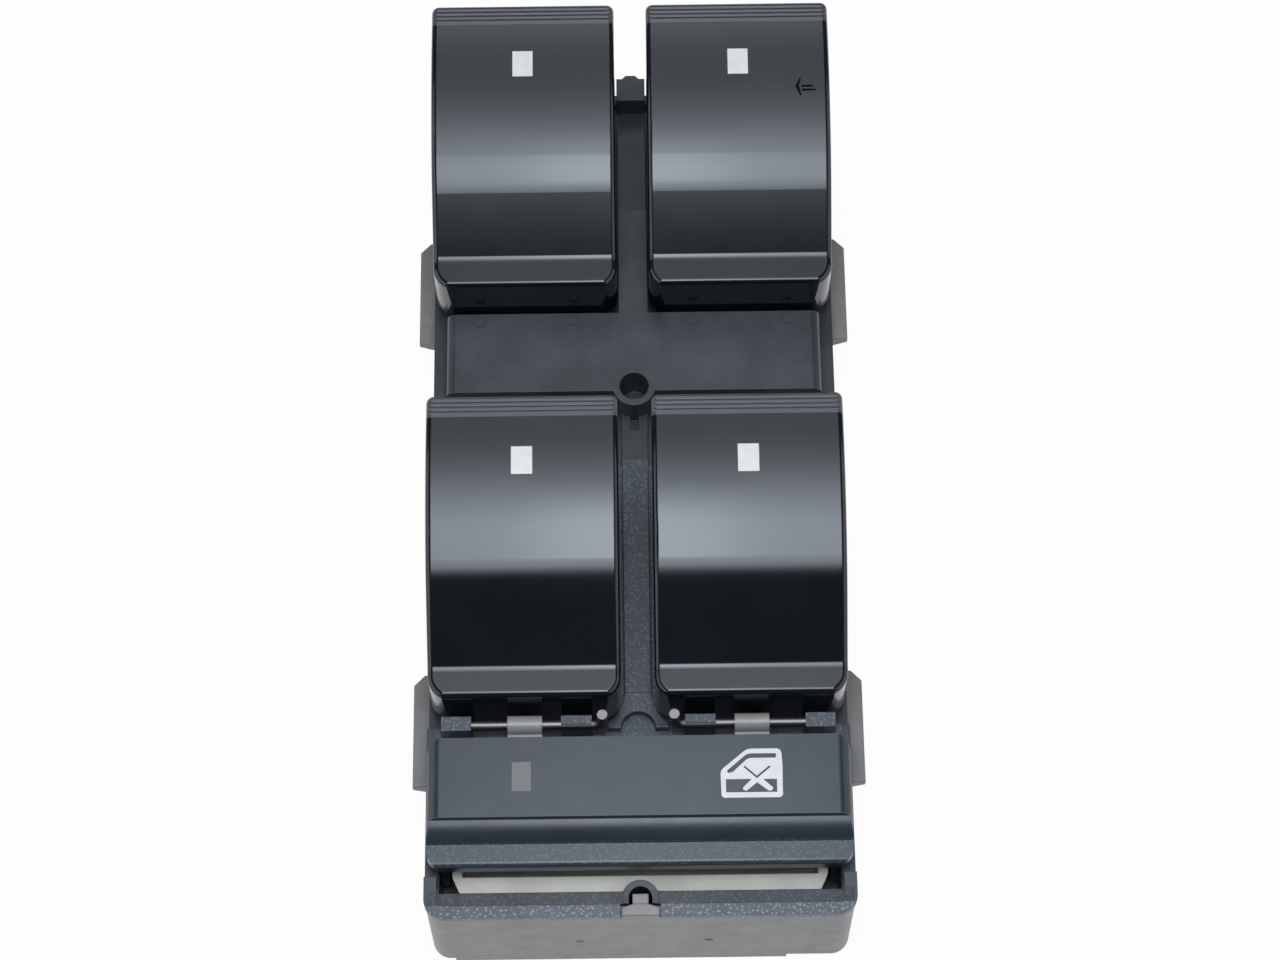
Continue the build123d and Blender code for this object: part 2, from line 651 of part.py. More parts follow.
def near_end():
    """Pocket around the lock key: liner, rim, side flanges and near boss."""
    liner_near = rim_far_y + CASE_INSET
    ledge_z = rim_z - LEDGE_DROP
    flange_z0 = key_flange_z - RIM_THICKNESS
    step_y = pocket_step_y - RIM_THICKNESS
    riser_y = wall_rise_y + RIM_THICKNESS
    past = wall_rise_y + CUT_PAST
    wide = half_width + 1
    low = deck_z0 - 1
    high = rim_z + 1
    liner = rounded_block(-liner_half, liner_half, liner_near, past, deck_z0, ledge_z,
                          HOUSING_CORNER - CASE_WALL)
    seat = rounded_block(-half_width, half_width, near_y, past, rim_z - RIM_THICKNESS, ledge_z,
                         HOUSING_CORNER)
    rim = rounded_block(-half_width, half_width, near_y, past, ledge_z, rim_z, HOUSING_CORNER)
    rim -= rounded_block(-mouth_half, mouth_half, rim_far_y, past + CUT_PAST, ledge_z - 1, high,
                         HOUSING_CORNER - RIM_WIDTH)
    ring = liner + seat + rim
    ring -= block(-wide, wide, step_y, past + 1, key_flange_z, high)
    for side in (-1, 1):
        ring += side_box(side, hole_half, half_width, step_y, pocket_step_y, flange_z0, rim_z)
        ring += side_box(side, hole_half, half_width, step_y, riser_y, flange_z0, key_flange_z)
        ring += side_box(side, hole_half, half_width, wall_rise_y, riser_y, deck_z0, key_flange_z)
    ring -= block(-hole_half, hole_half, ledge_y, past + 1, low, high)
    ring -= block(-mouth_half, mouth_half, ledge_y, key_near_y + MOUTH_LENGTH, low, high)
    ring -= block(-wide, wide, riser_y, past + 1, low, high)
    boss = upright(0, near_boss_y, deck_z0, rim_z - BOSS_DROP, NEAR_BOSS_RADIUS)
    ring += boss - block(-wide, wide, near_y - 5, liner_near, low, high)
    notch = NOTCH_WIDTH / 2
    ring -= block(-notch, notch, near_y - 1, liner_near, rim_z - 5, high)
    slot = NEAR_SLOT_WIDTH / 2
    ring -= block(-slot, slot, near_y - 1, near_boss_y, low, high)
    return ring - upright(0, near_boss_y, low, high, slot)


def snap_legs():
    """Legs under the deck whose nubs catch in the case's windows."""
    outer = liner_half
    group = None
    for side in (-1, 1):
        for y in leg_ys:
            leg = side_box(side, outer - LEG_THICKNESS, outer, y - LEG_WIDTH / 2, y + LEG_WIDTH / 2,
                           deck_z0 - LEG_DROP, deck_z0 + 0.5)
            nub_z = deck_z0 - LEG_DROP + LEG_NUB_HEIGHT
            wedge = Polyline((outer - 0.2, deck_z0 - LEG_DROP), (outer, deck_z0 - LEG_DROP),
                             (outer + LEG_NUB, nub_z), (outer - 0.2, nub_z), close=True)
            wedge = Plane.XZ * make_face(wedge)
            wedge = extrude(wedge, LEG_WIDTH - 2 * LEG_NUB_INSET, dir=(0, 1, 0))
            wedge = Pos(0, y - LEG_WIDTH / 2 + LEG_NUB_INSET, 0) * wedge
            if side < 0:
                wedge = wedge.mirror(Plane.YZ)
            leg += wedge
            group = leg if group is None else group + leg
    return group


def side_box(side, inner, outer, y0, y1, z0, z1):
    """A block between two distances from the middle plane, on one side."""
    return block(min(side * inner, side * outer), max(side * inner, side * outer), y0, y1, z0, z1)


def top_housing():
    """The black housing that carries the buttons and the lock key."""
    deck = rounded_block(-half_width, half_width, wall_rise_y, far_wall_y, deck_z0, deck_z1, HOUSING_CORNER)
    deck += block(-half_width, half_width, wall_rise_y, wall_rise_y + 2 * HOUSING_CORNER, deck_z0, deck_z1)
    curb = rounded_block(-half_width, half_width, wall_rise_y, far_wall_y, deck_z0, deck_z1 + CURB_HEIGHT,
                         HOUSING_CORNER)
    curb += block(-half_width, half_width, wall_rise_y, wall_rise_y + 2 * HOUSING_CORNER, deck_z0,
                  deck_z1 + CURB_HEIGHT)
    curb -= rounded_block(-plate_half, plate_half, wall_rise_y - 2 * HOUSING_CORNER,
                          far_wall_y - CASE_WALL, deck_z1, deck_z1 + 5, HOUSING_CORNER - RIM_WIDTH)
    housing = deck + curb
    housing += block(-liner_half, liner_half, key_far_y - BOX_FROM_KEY, wall_rise_y + 1, deck_z0, deck_z1)
    housing -= block(-plate_half + 1, plate_half - 1, plate_near_y + 1, plate_far_y - 1,
                     deck_z0 - 1, deck_z1 + 1)
    housing += raised_plate()
    housing += centre_line()
    housing += nubs()
    for x, lip_y in BUTTON_PLACES.values():
        housing += tower(x, lip_y)
    for x, lip_y in BUTTON_PLACES.values():
        housing -= tower_well(x, lip_y)
    housing += wire_ears()
    housing += near_end()
    housing += snap_legs()
    housing -= upright(0, boss_y, plate_z - SCREW_BORE_DEPTH, plate_z + 1, SCREW_BORE_RADIUS)
    slot_far = boss_y - RIB_SLOT_FROM_BOSS
    housing -= block(-RIB_SLOT_WIDTH / 2, RIB_SLOT_WIDTH / 2, slot_far - RIB_SLOT_LENGTH, slot_far,
                     rib_z - RIB_SLOT_DEPTH, rib_z + 1)
    housing -= crossbar(-half_width, half_width, wire_y, wire_z, WIRE_RADIUS)
    return housing


# Case

def snap_tab(side, near):
    """A wedge on a tongue of the case wall, flat on top and tapering downwards."""
    top = deck_z0 - TAB_TOP_BELOW_WALL
    bottom = top - TAB_DROP
    root = case_half - 0.3
    tip = half_width + TAB_REACH - CASE_INSET
    plan = Polyline((root, near), (tip, near), (tip, near + TAB_LENGTH - TAB_CHAMFER),
                    (tip - TAB_CHAMFER, near + TAB_LENGTH), (root, near + TAB_LENGTH), close=True)
    tab = Pos(0, 0, bottom) * extrude(make_face(plan), top - bottom)
    skin = case_half + TAB_STANDOUT
    flange_z = top - TAB_FLANGE
    taper = Polyline((skin, bottom - 1), (tip + 1, bottom - 1), (tip + 1, flange_z), (tip, flange_z),
                     (skin, flange_z - TAB_TAPER), close=True)
    taper = Plane.XZ * make_face(taper)
    tab -= Pos(0, near - 1, 0) * extrude(taper, TAB_LENGTH + 2, dir=(0, 1, 0))
    return tab if side > 0 else tab.mirror(Plane.YZ)


def case_shell():
    """The open case, with its wall top stepping up at the near end."""
    case_far = far_wall_y - CASE_INSET
    top = rim_z - RIM_THICKNESS
    corner = HOUSING_CORNER - CASE_INSET
    shell = rounded_block(-case_half, case_half, case_near_y, case_far, case_z, top, corner)
    shell = fillet(shell.faces().sort_by(Axis.Z)[0].edges(), CASE_FOOT_RADIUS)
    shell -= rounded_block(-case_inner, case_inner, case_near_y + CASE_WALL, case_far - CASE_WALL,
                           floor_z, top + 1, corner - CASE_WALL)
    wide = half_width + 5
    shell -= block(-wide, wide, wall_rise_y - FIT_GAP, case_far + 5, deck_z0, top + 5)
    shell -= block(-wide, wide, pocket_step_y - RIM_THICKNESS - FIT_GAP, wall_rise_y + 1,
                   key_flange_z - RIM_THICKNESS, top + 5)
    return shell


def near_tongue():
    """The arched tongue of the case that fills the notch in the rim, and the post in the boss."""
    half = NOTCH_WIDTH / 2 - FIT_GAP
    crest = rim_far_y + FIT_GAP
    plate = block(-half, half, case_near_y, crest, rim_z - TONGUE_HEIGHT, rim_z - TONGUE_DROP)
    plate &= upright(0, crest - TONGUE_ARC, rim_z - TONGUE_HEIGHT - 1, rim_z + 1, TONGUE_ARC)
    post = TONGUE_POST_WIDTH / 2
    post_far = near_boss_y + TONGUE_POST_REACH
    return plate + block(-post, post, case_near_y + 0.5, post_far, mat_z1 + 1.0, rim_z - BOSS_DROP - FIT_GAP)


def case_pad():
    """The flat pad under the case, with bevelled ends."""
    pad = block(PAD_LEFT, PAD_RIGHT, case_near_y + PAD_END_INSET,
                far_wall_y - CASE_FOOT_RADIUS - PAD_END_INSET, 0, case_z + FLOOR_THICKNESS / 2)
    return chamfer(pad.faces().sort_by(Axis.Z)[0].edges(), PAD_CHAMFER)


def board_supports():
    """Corner blocks and pegs that hold the circuit board."""
    group = None
    for y in (board_far_y - SHELF_BLOCK, board_near_y):
        for side in (-1, 1):
            shelf = side_box(side, board_half - SHELF_WIDTH, case_inner + 0.2, y, y + SHELF_BLOCK,
                             floor_z - 0.2, board_z0)
            group = shelf if group is None else group + shelf
    for x, y in peg_places():
        group += upright(x, y, floor_z - 0.2, board_z0, PEG_RADIUS + PEG_SHOULDER)
        group += upright(x, y, floor_z, board_z1 - 0.2, PEG_RADIUS)
    return group


def peg_places():
    """Two pegs on opposite corners of the board."""
    return (
        (-board_half + SHELF_WIDTH + PEG_INSET, board_far_y - PEG_INSET),
        (board_half - SHELF_WIDTH - PEG_INSET, board_near_y + PEG_INSET),
    )


def base_case():
    """The grey case with its snap tabs, leg windows and plug opening."""
    case = case_shell() + case_pad() + near_tongue() + board_supports()
    inner = case_inner - 1
    outer = case_half + 1
    wall_top = rim_z + 1
    tab_top = deck_z0 - TAB_TOP_BELOW_WALL
    slit_low = tab_top - TAB_DROP - TAB_ROOT
    window_low = deck_z0 - LEG_DROP - LEG_WINDOW_GAP
    window_top = window_low + LEG_NUB_HEIGHT + LEG_WINDOW_GAP + FIT_GAP
    for side in (-1, 1):
        for near in tab_ys:
            far = near + TAB_LENGTH
            case -= side_box(side, inner, outer, near - TAB_SLIT, near, slit_low, wall_top)
            case -= side_box(side, inner, outer, far, far + TAB_SLIT, slit_low, wall_top)
            case -= side_box(side, inner, outer, near - FIT_GAP, far + FIT_GAP, tab_top, wall_top)
            case += snap_tab(side, near)
        for y in leg_ys:
            case -= side_box(side, inner, outer, y - LEG_WIDTH / 2, y + LEG_WIDTH / 2,
                             window_low, window_top)
    half_x = HEADER_LENGTH / 2 + HEADER_GAP
    half_y = HEADER_DEPTH / 2 + HEADER_GAP
    return case - block(-half_x, half_x, header_y - half_y, header_y + half_y, -1, floor_z + 1)


# Inside pieces

def lamp_box():
    """The box round the lock key's lamp, its near wall the bar with slanted ends."""
    near = ledge_y + BOX_NEAR_GAP
    bar_far = near + BOX_BAR
    far = key_far_y - BOX_FROM_KEY - FIT_GAP
    tip = box_half - BOX_END_CUT
    plan = Polyline((-tip, near), (tip, near), (box_half, bar_far), (box_half, far), (-box_half, far),
                    (-box_half, bar_far), close=True)
    box = Pos(0, 0, deck_z0 - 0.2) * extrude(make_face(plan), box_top_z - deck_z0 + 0.2)
    return box - block(-box_half + BOX_WALL, box_half - BOX_WALL, bar_far, far - BOX_WALL,
                       deck_z0, box_top_z + 1)


def guide_carrier():
    """The white carrier: a plate, a guide tube for each pusher and the lock key's lamp box."""
    far = far_wall_y - CARRIER_END_GAP
    near = ledge_y + BOX_NEAR_GAP
    carrier = block(-carrier_half, carrier_half, near, far, carrier_z0, deck_z0) + lamp_box()
    for name, x, y, top_z in pusher_places():
        guide_top = guide_top_z if name != "lock_pusher" else box_top_z - LOCK_GUIDE_DROP
        guide = upright(x, y, deck_z0 - 0.2, guide_top, guide_radius)
        guide -= upright(x, y, deck_z0 - 1, guide_top + 1, PUSHER_RADIUS + RUNNING_CLEARANCE)
        carrier += guide
    for name, x, y, top_z in pusher_places():
        carrier -= upright(x, y, carrier_z0 - 1, foot_bore_z, foot_bore_radius)
    for x, y in lamp_places():
        carrier -= upright(x, y, carrier_z0 - 1, deck_z0 + 0.1, GUIDE_ROD_RADIUS)
    return carrier - upright(0, near_boss_y, carrier_z0 - 1, box_top_z + 1, NEAR_BOSS_RADIUS + FIT_GAP)


def lamp_places():
    """Middle of each lamp on the board: one in each tower and one under the lock key."""
    places = [(x, lip_y - PIVOT_FROM_LIP) for x, lip_y in BUTTON_PLACES.values()]
    places.append((LAMP_LENS_X, key_far_y - LAMP_LENS_FROM_FAR))
    return places


def light_guides():
    """Clear rods that carry the lamps' light up towards the legends."""
    rods = []
    slant = GUIDE_ROD_RADIUS * math.sqrt(2)
    for index, (x, y) in enumerate(lamp_places()):
        top = pivot_z + GUIDE_ROD_TOP if index < len(BUTTON_PLACES) else box_top_z
        rod = upright(x, y, mat_z1 + FIT_GAP, top, GUIDE_ROD_RADIUS)
        tip = Pos(x, y + GUIDE_ROD_RADIUS, top) * Rot(45, 0, 0) * Box(CUT_PAST, slant, slant)
        rods.append(rod - tip)
    return Compound(children=rods)


def circuit_board():
    """The board, with peg and pin holes, clear of the case walls."""
    board = rounded_block(-board_half, board_half, board_near_y, board_far_y, board_z0, board_z1,
                          BOARD_CORNER)
    for x, y in peg_places():
        board -= upright(x, y, board_z0 - 1, board_z1 + 1, PEG_RADIUS + PEG_HOLE_GAP)
    for x, y in pin_places():
        board -= square_post(x, y, board_z0 - 1, board_z1 + 1, PIN_SIZE + 2 * PIN_HOLE_GAP)
    return board


def dome_mat():
    """The silicone mat with one dome under each pusher."""
    mat = rounded_block(-board_half + MAT_INSET, board_half - MAT_INSET, board_near_y + MAT_INSET,
                        board_far_y - MAT_INSET, board_z1, mat_z1, BOARD_CORNER)
    for name, x, y, top_z in pusher_places():
        dome = Cone(PUSHER_FOOT_RADIUS, PUSHER_RADIUS, dome_z - mat_z1)
        mat += Pos(x, y, (mat_z1 + dome_z) / 2) * dome
    for x, y in lamp_places():
        mat -= square_post(x, y, board_z1 - 1, mat_z1 + 1, LED_HOLE_SIZE)
    for x, y in peg_places():
        mat -= upright(x, y, board_z1 - 1, mat_z1 + 1, PEG_RADIUS + PEG_SHOULDER)
    half_x = HEADER_LENGTH / 2
    half_y = PIN_PITCH
    return mat - block(-half_x, half_x, header_y - half_y, header_y + half_y, board_z1 - 1, mat_z1 + 1)


def square_post(x, y, z0, z1, side):
    """A square post along Z."""
    half = side / 2
    return block(x - half, x + half, y - half, y + half, z0, z1)


def pin_places():
    """Middles of the header's two rows of pins."""
    first = -(PIN_COUNT - 1) * PIN_PITCH / 2
    places = []
    for row in (-PIN_PITCH / 2, PIN_PITCH / 2):
        for index in range(PIN_COUNT):
            places.append((first + index * PIN_PITCH, header_y + row))
    return places


def plug_header():
    """The socket body under the board, open downwards."""
    half_x = HEADER_LENGTH / 2
    half_y = HEADER_DEPTH / 2
    inner_x = half_x - HEADER_WALL
    inner_y = half_y - HEADER_WALL
    body = block(-half_x, half_x, header_y - half_y, header_y + half_y, header_z0, board_z0)
    body -= block(-inner_x, inner_x, header_y - inner_y, header_y + inner_y,
                  header_z0 - 1, header_z0 + HEADER_CAVITY)
    for x, y in pin_places():
        body -= square_post(x, y, header_z0, board_z0 + 1, PIN_SIZE)
    return body


def header_pins():
    """The header's square pins, from the socket up through the board."""
    low = header_z0 + HEADER_CAVITY - PIN_INTO_SOCKET
    return Compound(children=[square_post(x, y, low, board_z1 + PIN_TIP, PIN_SIZE) for x, y in pin_places()])


def board_leds():
    """Five lamps on the board's upper face."""
    return Compound(children=[square_post(x, y, board_z1, board_z1 + LED_HEIGHT, LED_SIZE)
                              for x, y in lamp_places()])


def under_board(x, y, size_x, size_y, height):
    """A flat component hanging under the board."""
    return block(x - size_x / 2, x + size_x / 2, y - size_y / 2, y + size_y / 2, board_z0 - height, board_z0)


def board_chips():
    """Controller, drivers, capacitor and resistors under the board."""
    controller_y = header_y - CONTROLLER_FROM_HEADER
    chips = [under_board(0, controller_y, CONTROLLER_SIZE, CONTROLLER_SIZE, CONTROLLER_HEIGHT)]
    for step in DRIVER_FROM_HEADER:
        for x in (-DRIVER_X, DRIVER_X):
            chips.append(under_board(x, header_y + step, DRIVER_WIDTH, DRIVER_LENGTH, DRIVER_HEIGHT))
    capacitor_y = header_y - CAPACITOR_FROM_HEADER
    chips.append(upright(CAPACITOR_X, capacitor_y, board_z0 - CAPACITOR_HEIGHT, board_z0, CAPACITOR_RADIUS))
    first = -(RESISTOR_COUNT - 1) * RESISTOR_PITCH / 2
    for index in range(RESISTOR_COUNT):
        chips.append(under_board(first + index * RESISTOR_PITCH, header_y - RESISTOR_FROM_HEADER,
                                 RESISTOR_WIDTH, RESISTOR_LENGTH, RESISTOR_HEIGHT))
    return Compound(children=chips)


# Lock key

def key_body():
    """The key's outside: flat panel, hollow slope and a lower near lip."""
    far = key_far_y
    panel_near = far - key_panel_length
    lip_far = panel_near - KEY_SLOPE_LENGTH
    near = key_near_y
    step = (panel_near - KEY_STEP_LENGTH, key_z - KEY_STEP_HEIGHT)
    slope_mid = ((step[0] + lip_far) / 2, (step[1] + key_lip_z) / 2 + KEY_SLOPE_BULGE)
    edges = [
        Line((far, key_z - KEY_FAR_DROP), (far, key_z)),
        Line((far, key_z), (panel_near, key_z)),
        Line((panel_near, key_z), step),
        ThreePointArc(step, slope_mid, (lip_far, key_lip_z)),
        Line((lip_far, key_lip_z), (near, key_lip_z)),
        Line((near, key_lip_z), (near, key_lip_z - KEY_LIP_DROP)),
        Line((near, key_lip_z - KEY_LIP_DROP), (far, key_z - KEY_FAR_DROP)),
    ]
    face = make_face(edges)
    lip = face.vertices().sort_by_distance((near, key_lip_z, 0))[0]
    face = fillet(lip, KEY_LIP_RADIUS)
    body = across(Plane.YZ * face, -key_half, key_half)
    low = key_under_z - 1
    body &= rounded_block(-key_half, key_half, near, far, low, key_z + 1, KEY_CORNER)
    ends = Pos(0, (low + key_z) / 2) * Rectangle(2 * key_half, key_z - low)
    ends = fillet(ends.vertices().group_by(Axis.Y)[-1], KEY_END_RADIUS)
    front_view = Pos(0, near - 1, 0) * (Plane.XZ * ends)
    return body & extrude(front_view, far - near + 2, dir=(0, 1, 0))


def lock_key(body):
    """The hollow key with its hinge eyes and the post over its pusher."""
    inner_half = key_half - KEY_WALL
    far = key_far_y - KEY_WALL
    panel_near = key_far_y - key_panel_length + 0.4
    near = key_near_y + KEY_WALL
    low = key_under_z - 1
    roof = key_z - KEY_WALL
    lip_roof = key_lip_z - KEY_WALL * 0.8
    space = side_profile([(far, low), (far, roof), (panel_near, roof),
                          (panel_near - KEY_SLOPE_LENGTH, lip_roof), (near, lip_roof), (near, low)])
    key = body - across(space, -inner_half, inner_half)
    side_low = key_z - KEY_SIDE_DROP - 0.4
    key -= block(-key_half - 1, key_half + 1, key_near_y - 1, key_far_y - KEY_WALL - 0.2, low, side_low)
    for side in (-1, 1):
        x0 = side * KEY_EYE_X - KEY_EYE_WIDTH / 2
        x1 = side * KEY_EYE_X + KEY_EYE_WIDTH / 2
        key += crossbar(x0, x1, wire_y, wire_z, KEY_EYE_RADIUS)
        arm_z = wire_z - KEY_EYE_RADIUS
        key += block(x0, x1, key_far_y - KEY_WALL / 2, wire_y, arm_z, arm_z + KEY_ARM_THICKNESS)
        key -= crossbar(x0 - 1, x1 + 1, wire_y, wire_z, WIRE_RADIUS + RUNNING_CLEARANCE)
    post_y = wire_y - KEY_PUSHER_FROM_WIRE
    key += block(-POST_WIDTH / 2, POST_WIDTH / 2, post_y - POST_DEPTH / 2, post_y + POST_DEPTH / 2,
                 key_pusher_top_z + PUSHER_HEAD_GAP, roof + 0.5)
    return key - lamp_lens_block()


def lamp_lens_block():
    """The space of the lamp window in the key's panel."""
    y = key_far_y - LAMP_LENS_FROM_FAR
    half_x = LAMP_LENS_WIDTH / 2
    half_y = LAMP_LENS_LENGTH / 2
    return block(LAMP_LENS_X - half_x, LAMP_LENS_X + half_x, y - half_y, y + half_y,
                 key_z - KEY_WALL - LEGEND_STEM, key_z + 1)


def hinge_wire(side):
    """One bent wire: along the key's far edge, its inner end turned up."""
    bend = WIRE_BEND_RADIUS
    start = (side * wire_outer_x, wire_y, wire_z)
    before = (side * (WIRE_INNER_X + bend), wire_y, wire_z)
    after = (side * WIRE_INNER_X, wire_y, wire_z + bend)
    end = (side * WIRE_INNER_X, wire_y, wire_z + bend + WIRE_UPTURN)
    middle = (side * (WIRE_INNER_X + bend * (1 - math.sin(math.pi / 4))), wire_y,
              wire_z + bend * (1 - math.cos(math.pi / 4)))
    path = Line(start, before) + ThreePointArc(before, middle, after) + Line(after, end)
    circle = Plane(origin=start, z_dir=(-side, 0, 0)) * Circle(WIRE_RADIUS)
    return sweep(circle, path=path)


def hinge_wires():
    """The pair of wires on which the lock key turns."""
    return Compound(children=[hinge_wire(-1), hinge_wire(1)])


def save(shape, name):
    """Write one node."""
    export_step(shape, os.path.join("parts", name + ".step"))


def main():
    """Build every node."""
    save(base_case(), "base_case")
    save(top_housing(), "top_housing")
    save(guide_carrier(), "guide_carrier")
    save(circuit_board(), "circuit_board")
    save(dome_mat(), "dome_mat")
    save(plug_header(), "plug_header")
    save(header_pins(), "header_pins")
    save(board_leds(), "board_leds")
    save(board_chips(), "board_chips")
    save(light_guides(), "light_guides")
    save(hinge_wires(), "hinge_wires")
    bodies = {side: cap_body(side) for side in (-1, 1)}
    for name, (x, lip_y) in BUTTON_PLACES.items():
        side = -1 if x < 0 else 1
        place = Pos(x, lip_y, 0)
        save(place * window_button(side, bodies[side]), name + "_button")
        save(place * (legend_block() & bodies[side]), name + "_legend")
    for name, x, y, top_z in pusher_places():
        save(pusher(x, y, top_z), name)
    key = key_body()
    save(lock_key(key), "lock_key")
    save(lamp_lens_block() & key, "lock_lamp_lens")


main()
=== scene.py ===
import math
import bpy
from mathutils import Matrix, Vector


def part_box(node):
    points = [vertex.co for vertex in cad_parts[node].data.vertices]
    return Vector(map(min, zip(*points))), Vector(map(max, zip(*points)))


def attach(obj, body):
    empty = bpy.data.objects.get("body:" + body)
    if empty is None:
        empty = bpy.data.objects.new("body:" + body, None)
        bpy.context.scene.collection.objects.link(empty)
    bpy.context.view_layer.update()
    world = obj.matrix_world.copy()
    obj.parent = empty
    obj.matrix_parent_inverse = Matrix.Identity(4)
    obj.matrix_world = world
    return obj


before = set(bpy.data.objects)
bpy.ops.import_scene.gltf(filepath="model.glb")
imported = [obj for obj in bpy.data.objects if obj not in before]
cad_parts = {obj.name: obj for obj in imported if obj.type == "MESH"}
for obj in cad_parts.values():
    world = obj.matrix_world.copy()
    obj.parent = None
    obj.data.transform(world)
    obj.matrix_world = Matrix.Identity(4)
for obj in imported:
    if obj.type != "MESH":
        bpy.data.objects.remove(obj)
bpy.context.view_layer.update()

scene = bpy.context.scene
MM = 0.001

# Places on the part, in millimetres, as the model has them
PLATE_Z = 20.0
FRONT_LIP_Y = 61.4
REAR_LIP_Y = 3.5
CROWN_RADIUS = 45.0
CROWN_APEX = 6.0
CROWN_TOP_Z = 36.6
KEY_Z = 26.0
RIM_NEAR_Y = -62.0
RIM_FAR_Y = -59.8
LEDGE_FAR_Y = -58.0
LEDGE_HALF_WIDTH = 26.6
EARS_NEAR_Y = -39.0
EARS_FAR_Y = -35.0
EARS_HALF_WIDTH = 25.8
EYES_FAR_Y = -33.0
RIB_FAR_Y = 3.0
RIB_HALF_WIDTH = 4.2
KEY_LIP_NEAR_Y = -55.2
KEY_LIP_FAR_Y = -52.4
GRIPS_FROM_LIP = 0.4
GRIPS_TO_LIP = 3.15
# A half width past the part's sides, for zones that aren't limited sideways
FULL_WIDTH = 40.0

# Camera, aimed close to the part's middle at the raised plate's level: lengths in
# millimetres, apart from the clip start in metres, and places in the photo's pixels
VIEW_TILT = math.radians(23.5)
VIEW_DISTANCE = 435.0
VIEW_ROLL = math.radians(0.72)
VIEW_TARGET = Vector((0.0, -1.6, PLATE_Z))
PIXELS_WIDE = 1280.0
FOCAL_PIXELS = 3303.0
TARGET_PIXEL_X = 635.3
SENSOR_WIDTH = 36.0
CLIP_START = 0.01

# Materials: fade and specks of the textured and painted zones, noise and grain, how far the
# normal turns at edges that get wear and painted edge highlight, the clear plastic's haze, and
# the lines along drawn metal
ZONE_FADE = 0.12
SPECK_SCALE = 2200.0
SPECK_FULL, SPECK_END = 0.15, 0.45
SPECK_COLOUR = (0.34, 0.38, 0.45, 1.0)
NOISE_LOW, NOISE_HIGH = 0.3, 0.7
GRAIN_LOW, GRAIN_HIGH, GRAIN_AMOUNT = 0.35, 0.65, 0.25
GRAIN_DEPTH = 0.00004
HAZE_SCALE = 2.3
WEAR_AND_HIGHLIGHT_START, WEAR_AND_HIGHLIGHT_FULL = 0.99, 0.9
EDGE_SAMPLES = 6
CLEAR_HAZE_SCALE, CLEAR_HAZE = 700.0, 0.1
CLEAR_TINT_SCALE, CLEAR_TINT_LOSS = 300.0, 0.3
LINE_SCALE, LINE_STRETCH = 2200.0, (0.05, 1.0, 1.0)
LINE_GAIN, LINE_AMOUNT, LINE_ROUGHNESS = 1.5, 0.35, 0.12
WHITE = (1.0, 1.0, 1.0, 1.0)


class Nodes:
    """A material's node tree, with short calls for the nodes used here."""

    def __init__(self, name):
        self.material = bpy.data.materials.new(name)
        self.material.use_nodes = True
        self.tree = self.material.node_tree
        self.tree.nodes.clear()
        self.output = self.tree.nodes.new("ShaderNodeOutputMaterial")

    def add(self, kind, inputs=None, **settings):
        node = self.tree.nodes.new("ShaderNode" + kind)
        for key, value in settings.items():
            setattr(node, key, value)
        for key, value in (inputs or {}).items():
            if isinstance(value, bpy.types.NodeSocket):
                self.tree.links.new(value, node.inputs[key])
            else:
                node.inputs[key].default_value = value
        return node

    def place(self):
        return self.add("TexCoord").outputs["Object"]

    def noise(self, scale, detail=3.0, roughness=0.55, stretch=None):
        vector = self.place()
        if stretch:
            vector = self.add("Mapping", {"Vector": vector, "Scale": stretch}).outputs["Vector"]
        node = self.add("TexNoise", {"Vector": vector, "Scale": scale, "Detail": detail,
                                     "Roughness": roughness})
        return node.outputs["Fac"]

    def ramp(self, factor, low, high, out_low, out_high):
        node = self.add("MapRange", {"Value": factor, "From Min": low, "From Max": high,
                                     "To Min": out_low, "To Max": out_high})
        return node.outputs["Result"]

    def mottle(self, scale, out_low, out_high, detail=3.0):
        return self.ramp(self.noise(scale, detail), NOISE_LOW, NOISE_HIGH, out_low, out_high)

    def mix(self, factor, first, second):
        node = self.add("Mix", {0: factor, 6: first, 7: second}, data_type="RGBA")
        return node.outputs[2]

    def math(self, operation, first, second=0.0):
        node = self.add("Math", {0: first, 1: second}, operation=operation)
        return node.outputs[0]

    def finish(self, shader):
        self.tree.links.new(shader, self.output.inputs["Surface"])
        return self.material


def rgb(red, green, blue):
    """A screen colour as the linear colour that renders as it."""
    def linear(value):
        value = value / 255.0
        return value / 12.92 if value <= 0.04045 else ((value + 0.055) / 1.055) ** 2.4
    return (linear(red), linear(green), linear(blue), 1.0)


def with_zones(nodes, colour, zones):
    """The colour with each zone's paint and specks over it."""
    place = nodes.add("SeparateXYZ", {"Vector": nodes.place()}).outputs
    along, aside = place["Y"], nodes.math("ABSOLUTE", place["X"])
    spots = nodes.add("TexVoronoi", {"Vector": nodes.place(), "Scale": SPECK_SCALE})
    for near, far, half_width, paint, amount, speckle in zones:
        past_near = nodes.ramp(along, (near - ZONE_FADE) * MM, near * MM, 0.0, 1.0)
        before_far = nodes.ramp(along, far * MM, (far + ZONE_FADE) * MM, 1.0, 0.0)
        between = nodes.ramp(aside, half_width * MM, (half_width + ZONE_FADE) * MM, 1.0, 0.0)
        inside = nodes.math("MULTIPLY", nodes.math("MULTIPLY", past_near, before_far), between)
        colour = nodes.mix(nodes.math("MULTIPLY", inside, amount), colour, paint)
        speck = nodes.ramp(spots.outputs["Distance"], SPECK_FULL, SPECK_END, speckle, 0.0)
        colour = nodes.mix(nodes.math("MULTIPLY", inside, speck), colour, SPECK_COLOUR)
    return colour


